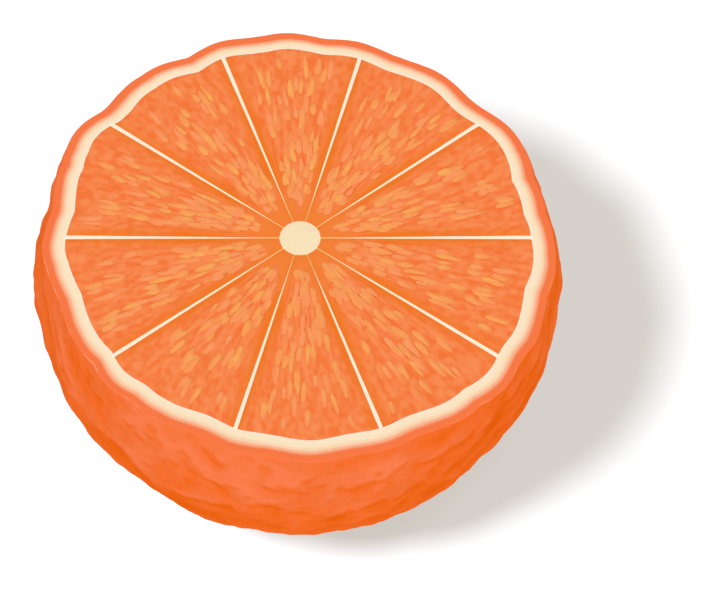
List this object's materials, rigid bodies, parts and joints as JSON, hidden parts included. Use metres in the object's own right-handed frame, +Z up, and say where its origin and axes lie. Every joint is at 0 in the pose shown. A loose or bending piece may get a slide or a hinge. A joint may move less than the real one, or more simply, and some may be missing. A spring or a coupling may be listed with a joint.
{
  "type": "orange half",
  "caption": "Half of a sweet orange, cut across the fruit, with its juicy segments, pale membranes, core, white pith and bumpy orange peel.",
  "frame": {"origin": "on the flat resting spot, in its plane, straight below the middle of the core", "axes": "+Z up along the core, out of the cut face; +X and +Y lie level, and the shown side faces -Y"},
  "size_m": [0.0802, 0.0805, 0.0436],
  "materials": {
    "zest": "orange peel, satin, with fine oil pits and shallow wrinkles",
    "pith": "soft white pith, matt, a little orange next to the peel",
    "core": "soft cream core, matt",
    "membrane": "thin cream skin, moist",
    "flesh": "cut juice cells, moist, lighter cells over deeper orange"
  },
  "bodies": {
    "root": {"peel": "zest", "pith": "pith", "core": "core", "membrane_01": "membrane", "membrane_02": "membrane", "membrane_03": "membrane", "membrane_04": "membrane", "membrane_05": "membrane", "membrane_06": "membrane", "membrane_07": "membrane", "membrane_08": "membrane", "membrane_09": "membrane", "membrane_10": "membrane", "segment_01": "flesh", "segment_02": "flesh", "segment_03": "flesh", "segment_04": "flesh", "segment_05": "flesh", "segment_06": "flesh", "segment_07": "flesh", "segment_08": "flesh", "segment_09": "flesh", "segment_10": "flesh"}
  },
  "joints": []
}
